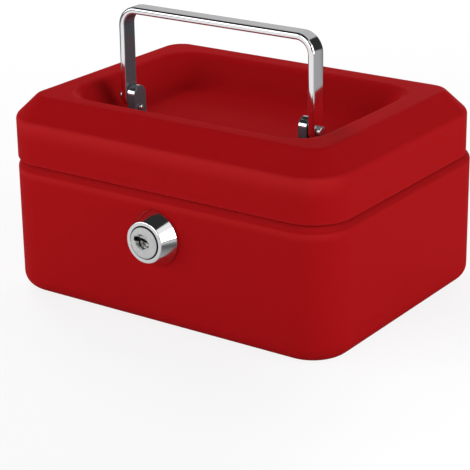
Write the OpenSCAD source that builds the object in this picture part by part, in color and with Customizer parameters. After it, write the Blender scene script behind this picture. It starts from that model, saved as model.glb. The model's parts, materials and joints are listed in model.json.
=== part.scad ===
// Cash box: drawn steel base and hinged lid, fold-down bail handle, cam lock and coin tray.
// Millimetres. Origin at the middle of the underside, +Z up, the lock faces -Y.

/* [Box] */
// Overall width, left to right
box_w = 152; // [140:1:170]
// Overall depth of the base, front to back
box_d = 118; // [110:1:130]
// Height of the closed lid's rim
box_h = 80; // [76:1:90]
// Thickness of the steel sheet
sheet = 0.8; // [0.6:0.1:1]
// Outer radius of the upright corners
corner_r = 16.5; // [15:0.5:18]
// Radius round the bottom edge
foot_r = 6.6; // [4:0.2:8]

/* [Seam] */
// Height of the lid's rim above the start of the base's shoulder
lid_rise = 29.3; // [28:0.1:32]
// Radius of the shoulder under the lid
shoulder_r = 3.3; // [3:0.1:3.6]
// Height of the neck above the start of the shoulder
neck_h = 9.3; // [8:0.1:10]
// Height of the hemmed band at the top of the neck
neck_hem_h = 3.6; // [3:0.1:4]
// Rise of the lid's edge above the start of the shoulder
seam_rise = 3.2; // [3.1:0.05:3.5]
// Radius of the lid's curled edge
curl_r = 1.6; // [1.2:0.1:1.7]

/* [Lid] */
// How far the lid stops short of the base at the back
lid_setback = 3.6; // [3.4:0.1:4.4]
// Height of the sloping bevel below the rim
bevel_h = 8.5; // [7:0.1:10]
// How far the bevel leans in
bevel_in = 9; // [8:0.1:10]
// Bend radius along both edges of the bevel
bevel_bend_r = 3; // [2:0.1:4]

/* [Recess] */
// Flat rim between the bevel and the recess at each side
rim_side = 7; // [5:0.1:9]
// Flat rim between the bevel and the recess at the front
rim_front = 5; // [4:0.1:7]
// Flat rim between the bevel and the recess at the back
rim_back = 7.9; // [5:0.1:9]
// Depth of the recess floor below the rim
recess_drop = 12.5; // [12:0.1:13.5]
// Slope of the recess wall
recess_slope = 60; // [55:1:65]
// Bend radius at the top of the recess wall
recess_lip_r = 5; // [3:0.5:6]
// Bend radius at the foot of the recess wall
recess_foot_r = 8; // [5:0.5:9]
// Corner radius of the recess at the rim
recess_corner_r = 16.5; // [16:0.5:20]

/* [Handle] */
// Width over the outside of the handle's legs
handle_w = 90.8; // [84:0.2:92]
// Reach of the handle from its pivot to the outside of the grip
handle_reach = 37.4; // [34:0.2:38]
// Width of the handle's flat strip
strip_w = 7.4; // [6:0.2:7.6]
// Thickness of the handle's flat strip
strip_t = 2.8; // [2:0.1:3]
// Outside bend radius of the handle
handle_bend_r = 8; // [7:0.5:12]
// Radius of the strip's rounded edges
strip_edge_r = 0.7; // [0.4:0.1:0.9]
// Handle pivot in front of the middle of the recess
pivot_fore = 13.35; // [10:0.05:16]
// Handle pivot above the recess floor
pivot_rise = 7.3; // [7:0.1:8]

/* [Lugs] */
// Thickness of a lug
lug_t = 3.9; // [3.5:0.1:4.5]
// Half width of a lug and radius of its round top
lug_r = 3.7; // [3.4:0.1:3.8]
// Height of a lug above the recess floor
lug_h = 12.4; // [11.6:0.1:13]
// Metal left at the bottom of a lug's blind holes
lug_skin = 0.8; // [0.6:0.1:1]
// Side gap between a lug and the handle's leg
lug_gap = 0.3; // [0.2:0.05:0.4]
// Diameter of the pivot pin
pivot_d = 3; // [2.6:0.1:3.2]
// Diameter of the pivot pin's head
pivot_head_d = 4.2; // [4:0.1:5]
// Length of the pivot pin's head
pivot_head_l = 1.7; // [1.4:0.1:3]
// Height of the cross pin above the recess floor
cross_pin_rise = 3.7; // [3.6:0.1:4]
// Cross pin in front of the handle's pivot
cross_pin_fore = 0.6; // [0:0.1:1]
// Diameter of the cross pin
cross_pin_d = 2.5; // [2:0.1:2.6]
// How far the cross pin stands out of the lug
cross_pin_out = 1.3; // [0.8:0.1:1.6]
// Diameter of the screw that holds a lug
lug_screw_d = 2.9; // [2.5:0.1:3]
// How far the screw reaches into the lug
lug_screw_in = 1.9; // [1.6:0.1:2]

/* [Lock] */
// Depth of the lock's axis below the start of the shoulder
lock_drop = 13.8; // [12:0.1:16]
// Diameter of the lock's flange on the wall
lock_base_d = 22; // [21:0.2:24]
// Thickness of the flange
lock_flange_t = 1.1; // [0.8:0.1:1.6]
// Diameter of the lock's front ring
lock_face_d = 16.1; // [15.6:0.1:17]
// How far the lock stands out from the wall
lock_out = 7; // [6:0.1:8]
// Diameter of the threaded barrel
barrel_d = 15.6; // [15:0.1:16]
// Length of the barrel behind the wall's outer face
barrel_l = 16; // [15:0.5:17]
// Diameter of the plug
plug_d = 12.6; // [12:0.1:13]
// How far the plug stands out of the ring
plug_proud = 0.4; // [0:0.1:0.8]
// Width over the flats of the nut
nut_af = 19; // [18:0.5:20]
// Thickness of the nut
nut_t = 4; // [3:0.5:5]
// Thickness of the spring washer under the nut
lock_washer_t = 0.6; // [0.5:0.1:1]
// Turn of the keyway from level
keyway_tilt = 16; // [0:1:30]
// Length of the keyway slot
keyway_l = 7.2; // [6.4:0.2:8]
// Width of the keyway slot
keyway_w = 2; // [1.6:0.1:2.2]
// Middle of the keyway to the left of the lock's axis
keyway_left = 1; // [0:0.1:1.2]
// Diameter of the round dish in front of the keyway
dish_d = 6; // [5:0.1:6.4]
// Diameter of the round notch under the keyway
notch_d = 4.2; // [3.6:0.1:4.4]
// Number of wafers in the plug
wafer_count = 4; // [2:1:5]
// Reach of the cam from the lock's axis
cam_reach = 17; // [15:0.5:18]
// Width of the cam's arm
cam_w = 7; // [6:0.1:8]
// Thickness of the cam
cam_t = 1.6; // [1.2:0.1:2]
// Side of the plug's square tail
tail_square = 6; // [5:0.1:6.4]

/* [Strike] */
// Near side of the strike from the lock's axis
strike_x = 9; // [8.6:0.1:10]
// Width of the strike
strike_w = 9; // [7:0.5:10]
// Thickness of the strike
strike_t = 1.2; // [1:0.1:1.5]
// Height of the flange that is welded inside the lid
strike_flange_h = 8; // [6:0.5:9]

/* [Hinge] */
// Length of the hinge
hinge_l = 104; // [90:1:110]
// Outside radius of the hinge's knuckles
knuckle_r = 2.2; // [2:0.1:2.4]
// Diameter of the hinge pin
hinge_pin_d = 2.4; // [2:0.1:2.4]
// Thickness of the hinge leaves
leaf_t = 0.8; // [0.6:0.1:1]
// Depth of the lower leaf below the hinge pin
leaf_down = 13; // [11:0.5:16]
// Height of the upper leaf above the hinge pin
leaf_up = 10.5; // [9:0.5:12]
// Number of knuckles
knuckle_count = 5; // [3:2:7]
// Diameter of the rivets' shanks
rivet_d = 2.4; // [2:0.1:3]
// Distance of the outer rivets from the middle one
rivet_pitch = 38; // [30:1:40]

/* [Coin tray] */
// Thickness of the tray's moulded walls
tray_wall = 1.6; // [1.2:0.1:2]
// Depth of the tray below its rim
tray_deep = 24; // [20:0.5:26]
// Gap between the cam's screw and the front of the tray
tray_front_gap = 1.6; // [1.4:0.1:4]
// Gap between the back of the tray and the lid's back wall
tray_back_gap = 4.6; // [4:0.1:8]
// Number of coin wells along the front row
well_count = 4; // [2:1:5]
// Depth of the front row of wells, front to back
well_d = 46; // [36:1:52]
// Radius of the wells' scooped floors
well_r = 8; // [4:0.5:9]
// Radius of the wells' upright corners
well_corner_r = 6; // [4:0.5:6.5]

/* [Clearances] */
// Gap between the lid's curled edge and the neck
neck_gap = 0.5; // [0.4:0.05:0.7]
// Radial running clearance of the pins
pin_play = 0.05; // [0.02:0.01:0.08]
// Side gap between moving faces
face_gap = 0.3; // [0.2:0.05:0.4]
// Radial clearance of fixed pins and rivets
fixed_play = 0.02; // [0.01:0.01:0.04]

/* [Hidden] */

$fn = 64;
eps = 0.01;
over = 1;
bend_step = 12;

red = "#a01216";
chrome = "#c9ccd0";
steel = "#9a9ea3";
plastic = "#1d1e20";

// Heights
shoulder_z = box_h - lid_rise;
neck_z = shoulder_z + neck_h;
lid_edge_z = shoulder_z + seam_rise;
lock_z = shoulder_z - lock_drop;
floor_z = box_h - recess_drop;
pivot_z = floor_z + pivot_rise;

// Neck: the shoulder turns until it has come in by neck_inset
neck_inset = curl_r + neck_gap;
shoulder_turn = acos(1 - neck_inset / shoulder_r);
shoulder_top_z = shoulder_z + shoulder_r * sin(shoulder_turn);
neck_face = corner_r - neck_inset;
hem_t = 2 * sheet;

// Lid plan
lid_d = box_d - lid_setback;
lid_y = -lid_setback / 2;
lid_back_y = box_d / 2 - lid_setback;
recess_front_y = -box_d / 2 + bevel_in + rim_front;
recess_back_y = lid_back_y - bevel_in - rim_back;
recess_w = box_w - 2 * (bevel_in + rim_side);
recess_d = recess_back_y - recess_front_y;
recess_y = (recess_back_y + recess_front_y) / 2;
pivot_y = recess_y - pivot_fore;

// Lug and handle stations, out from the middle
leg_in_x = handle_w / 2 - strip_t;
lug_out_x = leg_in_x - lug_gap;
lug_in_x = lug_out_x - lug_t;
lug_mid_x = lug_out_x - lug_t / 2;
lug_round_z = floor_z + lug_h - lug_r;
cross_pin_y = pivot_y - cross_pin_fore;
pivot_hole_r = pivot_d / 2 + pin_play;
lug_screw_head_d = 6;
lug_screw_head_h = 1.8;
lug_bore_spare = 0.3;
lug_washer_d = 7;
lug_washer_t = 0.6;
cross_recess_l = 3.4;
cross_recess_w = 0.8;
cross_recess_deep = 0.9;

// Lock stations along Y
wall_y = -box_d / 2;
wall_in_y = wall_y + sheet;
lock_face_y = wall_y - lock_out;
barrel_end_y = wall_y + barrel_l;
cam_y = barrel_end_y + face_gap;
cam_back_y = cam_y + cam_t;
plug_r = plug_d / 2;
plug_hole_r = plug_r + pin_play;
plug_face_y = lock_face_y - plug_proud;
plug_chamfer = 0.25;
ring_edge = 0.4;
ring_bore_edge = 0.3;
tail_short = 0.1;
cam_screw_d = 3;
cam_screw_l = 3.5;
cam_screw_head_d = 8;
cam_screw_head_h = 2;
cam_screw_bore_spare = 0.5;
cam_washer_d = 10;
cam_washer_t = 0.5;
cam_screw_end_y = cam_back_y + cam_washer_t + cam_screw_head_h;
nut_chamfer = 0.8;
washer_step = 0.2;
hub_r = 6.5;
dish_deep = 0.9;
notch_down = 0.9;
notch_right = 0.4;
keyway_deep = 18;
wafer_t = 1;
wafer_gap = 0.1;
wafer_pitch = 2.6;
wafer_w = 5.2;
wafer_l = 10.6;
wafer_shift = 0.5;
wafer_web = 1.2;
first_wafer_y = lock_face_y + 2.6;

// Strike stations
strike_y = cam_y - face_gap - strike_t;
strike_lip_z = lock_z - cam_w / 2 - 2 * face_gap - strike_t;
strike_top_z = neck_z + 4 * face_gap + strike_t;
strike_bend_r = 0.4;
strike_lip_spare = 1;

// Hinge stations
hinge_y = lid_back_y + knuckle_r;
hinge_lift = 0.2;
hinge_z = lid_edge_z + knuckle_r + hinge_lift;
lower_leaf_y = box_d / 2;
knuckle_l = hinge_l / knuckle_count;
hinge_bore_r = hinge_pin_d / 2 + pin_play;
rivet_head_d = 4.4;
rivet_head_h = 0.9;
rivet_margin = 3.2;
pin_head_step = 0.4;
pin_head_l = 1;
lower_rivet_z = hinge_z - leaf_down + rivet_margin;
upper_rivet_z = hinge_z + leaf_up - rivet_margin;

// Tray stations
tray_side_gap = 1;
tray_half_w = box_w / 2 - neck_inset - hem_t - tray_side_gap;
tray_front_y = cam_screw_end_y + tray_front_gap;
tray_back_y = lid_back_y - sheet - tray_back_gap;
tray_rim_t = 1.5;
tray_rim_out = 2.4;
tray_corner_r = 9;

// ---- Bent sheet: a path with bends, given a thickness to its left ----

function unit(v) = v / norm(v);
function left_of(v) = [-v[1], v[0]];
function cross2(a, b) = a[0] * b[1] - a[1] * b[0];

// The path moved sideways by d
function shifted(p, d) = [
    for (i = [0 : len(p) - 1])
        let (n1 = left_of(unit(i > 0 ? p[i] - p[i - 1] : p[1] - p[0])))
        let (n2 = left_of(unit(i < len(p) - 1 ? p[i + 1] - p[i] : p[i] - p[i - 1])))
        p[i] + d * (n1 + n2) / (1 + n1 * n2)
];

// The path with each corner replaced by an arc
function rounded(p, radii) = [
    for (i = [0 : len(p) - 1])
        if (i == 0 || i == len(p) - 1 || radii[i] <= 0) p[i]
        else
            let (d1 = unit(p[i] - p[i - 1]))
            let (d2 = unit(p[i + 1] - p[i]))
            let (side = sign(cross2(d1, d2)))
            let (turn = acos(max(-1, min(1, d1 * d2))))
            let (centre = p[i] - d1 * radii[i] * tan(turn / 2) + left_of(d1) * side * radii[i])
            let (from = p[i] - d1 * radii[i] * tan(turn / 2) - centre)
            let (steps = max(2, ceil(turn / bend_step)))
            for (k = [0 : steps])
                let (a = side * turn * k / steps)
                centre + [from[0] * cos(a) - from[1] * sin(a), from[0] * sin(a) + from[1] * cos(a)]
];

// Bend radii on the moved side of the sheet
function moved_radii(p, radii, d) = [
    for (i = [0 : len(p) - 1])
        if (i == 0 || i == len(p) - 1) 0
        else radii[i] - d * sign(cross2(p[i] - p[i - 1], p[i + 1] - p[i]))
];

function backwards(p) = [for (i = [len(p) - 1 : -1 : 0]) p[i]];

// A bent sheet: t is positive when the thickness lies to the left of the path
module bent_sheet(p, radii, t) {
    polygon(concat(
        rounded(p, radii),
        backwards(rounded(shifted(p, t), moved_radii(p, radii, t)))
    ));
}

// Carries a profile round a rounded rectangle; its x is measured out from the corner centres
module carried(w, d, r) {
    for (k = [0 : 3]) {
        across = k % 2 == 0 ? w : d;
        along = k % 2 == 0 ? d : w;
        rotate([0, 0, 90 * k])
            translate([across / 2 - r, along / 2 - r, 0]) {
                rotate([90, 0, 0])
                    linear_extrude(along - 2 * r) children();
                rotate_extrude(angle = 90) children();
            }
    }
}

module rounded_slab(w, d, r, h) {
    linear_extrude(h) rounded_rect(w, d, r);
}

module rounded_rect(w, d, r) {
    square([w - 2 * r, d], center = true);
    square([w, d - 2 * r], center = true);
    for (x = [-1, 1], y = [-1, 1])
        translate([x * (w / 2 - r), y * (d / 2 - r)]) circle(r);
}

// A cylinder along +Y from y0 to y1
module rod_y(d, y0, y1) {
    translate([0, y0, 0]) rotate([-90, 0, 0]) cylinder(d = d, h = y1 - y0);
}

// A cylinder along +X from x0 to x1
module rod_x(d, x0, x1) {
    translate([x0, 0, 0]) rotate([0, 90, 0]) cylinder(d = d, h = x1 - x0);
}

module at_lock() {
    translate([0, 0, lock_z]) children();
}

module at_rivets(z) {
    for (k = [-1, 0, 1])
        translate([k * rivet_pitch, 0, z]) children();
}

// Mirrors its child to the left side when side is -1
module on_side(side) {
    mirror([side < 0 ? 1 : 0, 0, 0]) children();
}

// ---- Base ----

module base_shell() {
    wall = [
        [0, 0],
        [corner_r, 0],
        [corner_r, shoulder_z + shoulder_r * tan(shoulder_turn / 2)],
        [neck_face, shoulder_top_z],
        [neck_face, neck_z - sheet]
    ];
    color(red) difference() {
        union() {
            translate([0, 0, sheet / 2])
                cube([box_w - 2 * corner_r, box_d - 2 * corner_r, sheet], center = true);
            carried(box_w, box_d, corner_r) {
                bent_sheet(wall, [0, foot_r, shoulder_r, 0, 0], sheet);
                neck_hem();
            }
        }
        // The neck stops before the back corners, where the lid's wall comes down
        translate([-box_w / 2, box_d / 2 - corner_r, shoulder_top_z])
            cube([box_w, corner_r + eps, neck_h]);
        at_lock() rod_y(barrel_d + 4 * pin_play, wall_y - over, wall_in_y + over);
        at_rivets(lower_rivet_z)
            rod_y(rivet_d, lower_leaf_y - sheet - over, lower_leaf_y + over);
    }
}

// The sheet's top edge folded down inside the neck
module neck_hem() {
    hem_r = hem_t / 2;
    translate([neck_face - hem_t, neck_z - neck_hem_h]) square([hem_t, neck_hem_h - hem_r]);
    translate([neck_face - hem_r, neck_z - hem_r]) circle(hem_r);
}

// ---- Coin tray ----

module coin_tray() {
    tray_d = tray_back_y - tray_front_y;
    tray_mid_y = (tray_back_y + tray_front_y) / 2;
    inner_w = 2 * tray_half_w - 2 * tray_wall;
    inner_d = tray_d - 2 * tray_wall;
    back_d = inner_d - well_d - tray_wall;
    pitch = (inner_w + tray_wall) / well_count;
    color(plastic) difference() {
        union() {
            translate([0, tray_mid_y, neck_z - tray_deep])
                rounded_slab(2 * tray_half_w, tray_d, tray_corner_r, tray_deep + tray_rim_t);
            translate([0, tray_mid_y, neck_z])
                rounded_slab(2 * (tray_half_w + tray_rim_out), tray_d + tray_rim_out,
                    tray_corner_r + tray_rim_out, tray_rim_t);
        }
        for (k = [0 : well_count - 1])
            translate([(k + 0.5) * pitch - (inner_w + tray_wall) / 2,
                    tray_front_y + tray_wall + well_d / 2, 0])
                well(pitch - tray_wall, well_d);
        for (k = [-1, 1])
            translate([k * (inner_w + tray_wall) / 4, tray_back_y - tray_wall - back_d / 2, 0])
                well((inner_w - tray_wall) / 2, back_d);
    }
}

// A pocket with upright rounded corners and a scooped floor
module well(w, d) {
    bottom = neck_z - tray_deep + tray_wall;
    top = neck_z + tray_rim_t + over;
    intersection() {
        translate([0, 0, bottom]) rounded_slab(w, d, well_corner_r, top - bottom);
        translate([-w / 2, 0, (top + well_r + bottom) / 2])
            rotate([90, 0, 90])
                linear_extrude(w) {
                    square([d, top - bottom - well_r], center = true);
                    translate([0, -(top - bottom) / 2])
                        square([d - 2 * well_r, well_r], center = true);
                    for (y = [-1, 1])
                        translate([y * (d / 2 - well_r), -(top - bottom - well_r) / 2])
                            circle(well_r);
                }
    }
}

// ---- Lid ----

module lid_shell() {
    skirt = [
        [corner_r - curl_r - eps, lid_edge_z],
        [corner_r, lid_edge_z],
        [corner_r, box_h - bevel_h],
        [corner_r - bevel_in, box_h],
        [0, box_h]
    ];
    color(red) difference() {
        union() {
            difference() {
                union() {
                    translate([0, lid_y, 0])
                        carried(box_w, lid_d, corner_r)
                            bent_sheet(skirt, [0, curl_r, bevel_bend_r, bevel_bend_r, 0], sheet);
                    translate([0, lid_y, box_h - sheet / 2])
                        cube([box_w - 2 * corner_r, lid_d - 2 * corner_r, sheet], center = true);
                }
                translate([0, recess_y, box_h - sheet - over])
                    rounded_slab(recess_w, recess_d, recess_corner_r, sheet + 2 * over);
            }
            translate([0, recess_y, 0]) recess();
        }
        at_rivets(upper_rivet_z)
            rod_y(rivet_d, lid_back_y - sheet - over, lid_back_y + over);
        for (side = [-1, 1])
            translate([side * lug_mid_x, pivot_y, floor_z - sheet - over])
                cylinder(d = lug_screw_d + 2 * pin_play, h = sheet + 2 * over);
    }
}

// The pressed recess: rounded lip, sloping wall, rounded foot and flat floor
module recess() {
    lip = recess_lip_r * tan(recess_slope / 2);
    run = recess_drop / tan(recess_slope);
    wall = [
        [recess_corner_r, box_h],
        [recess_corner_r - lip, box_h],
        [recess_corner_r - lip - run, floor_z],
        [0, floor_z]
    ];
    carried(recess_w, recess_d, recess_corner_r)
        bent_sheet(wall, [0, recess_lip_r, recess_foot_r, 0], sheet);
    translate([0, 0, floor_z - sheet / 2])
        cube([recess_w - 2 * recess_corner_r, recess_d - 2 * recess_corner_r, sheet], center = true);
}

// ---- Hinge ----

// Knuckles k0, k0 + 2, ... along the hinge, shortened by the side gap
module knuckles(k0) {
    for (k = [k0 : 2 : knuckle_count - 1])
        translate([-hinge_l / 2 + k * knuckle_l + face_gap / 2, 0, 0])
            children();
}

module hinge_leaf(first, leaf_face, far_z, rivet_z) {
    near_z = far_z > hinge_z ? hinge_z + knuckle_r + face_gap : hinge_z - knuckle_r - face_gap;
    color(steel) difference() {
        union() {
            translate([-hinge_l / 2 + face_gap / 2, leaf_face, min(near_z, far_z)])
                cube([hinge_l - face_gap, leaf_t, abs(far_z - near_z)]);
            knuckles(first) {
                translate([0, leaf_face, min(hinge_z, far_z)])
                    cube([knuckle_l - face_gap, leaf_t, abs(far_z - hinge_z)]);
                translate([0, hinge_y, hinge_z])
                    rod_x(2 * knuckle_r, 0, knuckle_l - face_gap);
            }
        }
        translate([0, hinge_y, hinge_z])
            rod_x(2 * hinge_bore_r, -hinge_l, hinge_l);
        at_rivets(rivet_z)
            rod_y(rivet_d, leaf_face - over, leaf_face + leaf_t + over);
    }
}

module hinge_leaf_lower() {
    hinge_leaf(0, lower_leaf_y, hinge_z - leaf_down, lower_rivet_z);
}

module hinge_leaf_upper() {
    hinge_leaf(1, lid_back_y, hinge_z + leaf_up, upper_rivet_z);
}

module hinge_pin() {
    end_x = hinge_l / 2 + pin_head_l;
    color(steel) translate([0, hinge_y, hinge_z]) {
        rod_x(hinge_pin_d, -end_x, end_x);
        for (side = [-1, 1])
            on_side(side) rod_x(2 * (knuckle_r - pin_head_step), hinge_l / 2 + face_gap, end_x);
    }
}

// A rivet along Y: its shank passes from y0 to y1 and both ends are headed
module rivet(y0, y1) {
    rod_y(rivet_d - 2 * fixed_play, y0 - eps, y1 + eps);
    translate([0, y1, 0]) rotate([-90, 0, 0]) rivet_head();
    translate([0, y0, 0]) rotate([90, 0, 0]) rivet_head();
}

module rivet_head() {
    dome_r = (rivet_head_d * rivet_head_d / 4 + rivet_head_h * rivet_head_h) / (2 * rivet_head_h);
    intersection() {
        translate([0, 0, rivet_head_h - dome_r]) sphere(dome_r);
        cylinder(d = rivet_head_d + over, h = rivet_head_h + over);
    }
}

module hinge_rivets_lower() {
    color(steel) at_rivets(lower_rivet_z) rivet(lower_leaf_y - sheet, lower_leaf_y + leaf_t);
}

module hinge_rivets_upper() {
    color(steel) at_rivets(upper_rivet_z) rivet(lid_back_y - sheet, lid_back_y + leaf_t);
}

// ---- Lock ----

// A flange on the wall, a cone and a flat ring, with the barrel behind them
module lock_housing() {
    color(chrome) at_lock() difference() {
        union() {
            translate([0, wall_y, 0]) rotate([90, 0, 0])
                rotate_extrude()
                    polygon([
                        [0, 0],
                        [lock_base_d / 2, 0],
                        [lock_base_d / 2, lock_flange_t],
                        [lock_face_d / 2, lock_out - ring_edge],
                        [lock_face_d / 2 - ring_edge, lock_out],
                        [0, lock_out]
                    ]);
            rod_y(barrel_d, wall_y - eps, barrel_end_y);
        }
        rod_y(2 * plug_hole_r, lock_face_y - over, barrel_end_y + over);
        translate([0, lock_face_y, 0]) rotate([-90, 0, 0])
            cylinder(r1 = plug_hole_r + ring_bore_edge, r2 = plug_hole_r, h = ring_bore_edge);
    }
}

module lock_washer() {
    color(steel) at_lock() difference() {
        rod_y(nut_af - 2 * washer_step, wall_in_y, wall_in_y + lock_washer_t);
        rod_y(barrel_d + 2 * pin_play, wall_in_y - over, wall_in_y + lock_washer_t + over);
    }
}

module lock_nut() {
    nut_y = wall_in_y + lock_washer_t;
    corner = nut_af / 2 / cos(30);
    color(steel) at_lock() difference() {
        intersection() {
            translate([0, nut_y, 0]) rotate([-90, 0, 0]) cylinder(r = corner, h = nut_t, $fn = 6);
            translate([0, nut_y, 0]) rotate([-90, 0, 0])
                cylinder(r1 = corner + nut_t - nut_chamfer, r2 = corner - nut_chamfer, h = nut_t);
        }
        rod_y(barrel_d + 2 * pin_play, nut_y - over, nut_y + nut_t + over);
    }
}

module lock_plug() {
    color(chrome) at_lock() difference() {
        union() {
            rod_y(plug_d, plug_face_y + plug_chamfer, barrel_end_y + face_gap / 2);
            translate([0, plug_face_y, 0]) rotate([-90, 0, 0])
                cylinder(r1 = plug_r - plug_chamfer, r2 = plug_r, h = plug_chamfer);
            translate([-tail_square / 2, barrel_end_y, -tail_square / 2])
                cube([tail_square, cam_back_y - barrel_end_y - tail_short, tail_square]);
        }
        at_keyway() {
            // Dish, notch and keyway
            translate([0, plug_face_y - eps, 0]) rotate([-90, 0, 0])
                cylinder(d1 = dish_d, d2 = dish_d - 2 * dish_deep, h = dish_deep);
            translate([notch_right, 0, -notch_down]) rod_y(notch_d, plug_face_y, first_wafer_y);
            translate([-keyway_l / 2, plug_face_y - over, -keyway_w / 2])
                cube([keyway_l, keyway_deep, keyway_w]);
        }
        at_wafers() wafer_blank(wafer_l + 2 * wafer_gap, wafer_w + 2 * wafer_gap, wafer_t + 2 * wafer_gap);
        rod_y(cam_screw_d, barrel_end_y - cam_screw_l - cam_screw_bore_spare, cam_back_y + over);
    }
}

module at_keyway() {
    rotate([0, keyway_tilt, 0]) translate([-keyway_left, 0, 0]) children();
}

module at_wafers() {
    rotate([0, keyway_tilt, 0])
        for (k = [0 : wafer_count - 1])
            translate([0, first_wafer_y + k * wafer_pitch, 0]) children();
}

module wafer_blank(l, w, t) {
    translate([-l / 2, -t / 2, -w / 2]) cube([l, t, w]);
}

// Each wafer has its own window, cut to the key
module lock_wafers() {
    window_l = keyway_l - 2 * wafer_web;
    color(steel) at_lock() difference() {
        at_wafers() wafer_blank(wafer_l, wafer_w, wafer_t);
        at_keyway()
            for (k = [0 : wafer_count - 1])
                translate([wafer_shift * (k % 2) - window_l / 2, first_wafer_y + k * wafer_pitch - wafer_t,
                        -keyway_w / 2])
                    cube([window_l, 2 * wafer_t, keyway_w]);
    }
}

module lock_cam() {
    tip_r = cam_w / 2;
    color(steel) at_lock() difference() {
        union() {
            rod_y(2 * hub_r, cam_y, cam_back_y);
            translate([-cam_w / 2, cam_y, 0]) cube([cam_w, cam_t, cam_reach - tip_r]);
            translate([0, 0, cam_reach - tip_r]) rod_y(cam_w, cam_y, cam_back_y);
        }
        translate([-tail_square / 2 - fixed_play, cam_y - over, -tail_square / 2 - fixed_play])
            cube([tail_square + 2 * fixed_play, cam_t + 2 * over, tail_square + 2 * fixed_play]);
    }
}

module cam_washer() {
    color(steel) at_lock() difference() {
        rod_y(cam_washer_d, cam_back_y, cam_back_y + cam_washer_t);
        rod_y(cam_screw_d, cam_back_y - over, cam_back_y + cam_washer_t + over);
    }
}

module cam_screw() {
    head_y = cam_back_y + cam_washer_t;
    slot_w = 1;
    slot_deep = 0.9;
    color(steel) at_lock() difference() {
        union() {
            rod_y(cam_screw_d - 2 * fixed_play, barrel_end_y - cam_screw_l, head_y + eps);
            rod_y(cam_screw_head_d, head_y, head_y + cam_screw_head_h);
        }
        translate([-cam_screw_head_d, head_y + cam_screw_head_h - slot_deep, -slot_w / 2])
            cube([2 * cam_screw_head_d, cam_screw_head_h, slot_w]);
    }
}

// The strike hangs from the lid beside the lock; the turned cam holds down its bent lip
module lock_strike() {
    lip_l = cam_t + 2 * face_gap + strike_t + strike_lip_spare;
    skirt_y = wall_in_y;
    outer_r = strike_t + strike_bend_r;
    path = [
        [skirt_y, strike_top_z - strike_t + strike_flange_h],
        [skirt_y, strike_top_z - strike_t],
        [strike_y, strike_top_z - strike_t],
        [strike_y, strike_lip_z],
        [strike_y + lip_l, strike_lip_z]
    ];
    color(steel)
        translate([strike_x, 0, 0])
            rotate([90, 0, 90])
                linear_extrude(strike_w)
                    bent_sheet(path, [0, outer_r, strike_bend_r, outer_r, 0], strike_t);
}

// ---- Handle ----

module lug() {
    color(chrome) difference() {
        union() {
            translate([lug_in_x, pivot_y - lug_r, floor_z])
                cube([lug_t, 2 * lug_r, lug_round_z - floor_z]);
            translate([0, pivot_y, lug_round_z]) rod_x(2 * lug_r, lug_in_x, lug_out_x);
        }
        translate([0, pivot_y, pivot_z]) rod_x(pivot_d, lug_in_x + lug_skin, lug_out_x + over);
        translate([0, cross_pin_y, floor_z + cross_pin_rise])
            rod_x(cross_pin_d, lug_in_x - over, lug_out_x - lug_skin);
        translate([lug_mid_x, pivot_y, floor_z - over])
            cylinder(d = lug_screw_d, h = over + lug_screw_in + lug_bore_spare);
    }
}

module handle_lug_left() {
    on_side(-1) lug();
}

module handle_lug_right() {
    on_side(1) lug();
}

module pivot_pin() {
    head_x = handle_w / 2 + lug_gap / 2;
    edge = 0.5;
    color(chrome) translate([0, pivot_y, pivot_z]) {
        rod_x(pivot_d - 2 * fixed_play, lug_in_x + lug_skin, head_x + eps);
        translate([head_x, 0, 0]) rotate([0, 90, 0])
            rotate_extrude()
                polygon([
                    [0, 0],
                    [pivot_head_d / 2, 0],
                    [pivot_head_d / 2, pivot_head_l - edge],
                    [pivot_head_d / 2 - edge, pivot_head_l],
                    [0, pivot_head_l]
                ]);
    }
}

module pivot_pin_left() {
    on_side(-1) pivot_pin();
}

module pivot_pin_right() {
    on_side(1) pivot_pin();
}

module lug_cross_pin() {
    color(chrome) translate([0, cross_pin_y, floor_z + cross_pin_rise])
        rod_x(cross_pin_d - 2 * fixed_play, lug_in_x - cross_pin_out, lug_out_x - lug_skin);
}

module lug_cross_pin_left() {
    on_side(-1) lug_cross_pin();
}

module lug_cross_pin_right() {
    on_side(1) lug_cross_pin();
}

module lug_screw() {
    seat_z = floor_z - sheet - lug_washer_t;
    color(steel) translate([lug_mid_x, pivot_y, 0]) {
        translate([0, 0, seat_z - eps])
            cylinder(d = lug_screw_d - 2 * fixed_play, h = floor_z + lug_screw_in - seat_z);
        difference() {
            translate([0, 0, seat_z - lug_screw_head_h])
                cylinder(d = lug_screw_head_d, h = lug_screw_head_h);
            for (a = [0, 90])
                rotate([0, 0, a])
                    translate([0, 0, seat_z - lug_screw_head_h])
                        cube([cross_recess_l, cross_recess_w, 2 * cross_recess_deep], center = true);
        }
    }
}

module lug_screw_left() {
    on_side(-1) lug_screw();
}

module lug_screw_right() {
    on_side(1) lug_screw();
}

module lug_washer() {
    color(steel) translate([lug_mid_x, pivot_y, floor_z - sheet - lug_washer_t])
        difference() {
            cylinder(d = lug_washer_d, h = lug_washer_t);
            translate([0, 0, -over])
                cylinder(d = lug_screw_d + 2 * pin_play, h = lug_washer_t + 2 * over);
        }
}

module lug_washer_left() {
    on_side(-1) lug_washer();
}

module lug_washer_right() {
    on_side(1) lug_washer();
}

// Section of the strip: x is the thickness, y the width
module strip_section() {
    rounded_rect(strip_t, strip_w, strip_edge_r);
}

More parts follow.
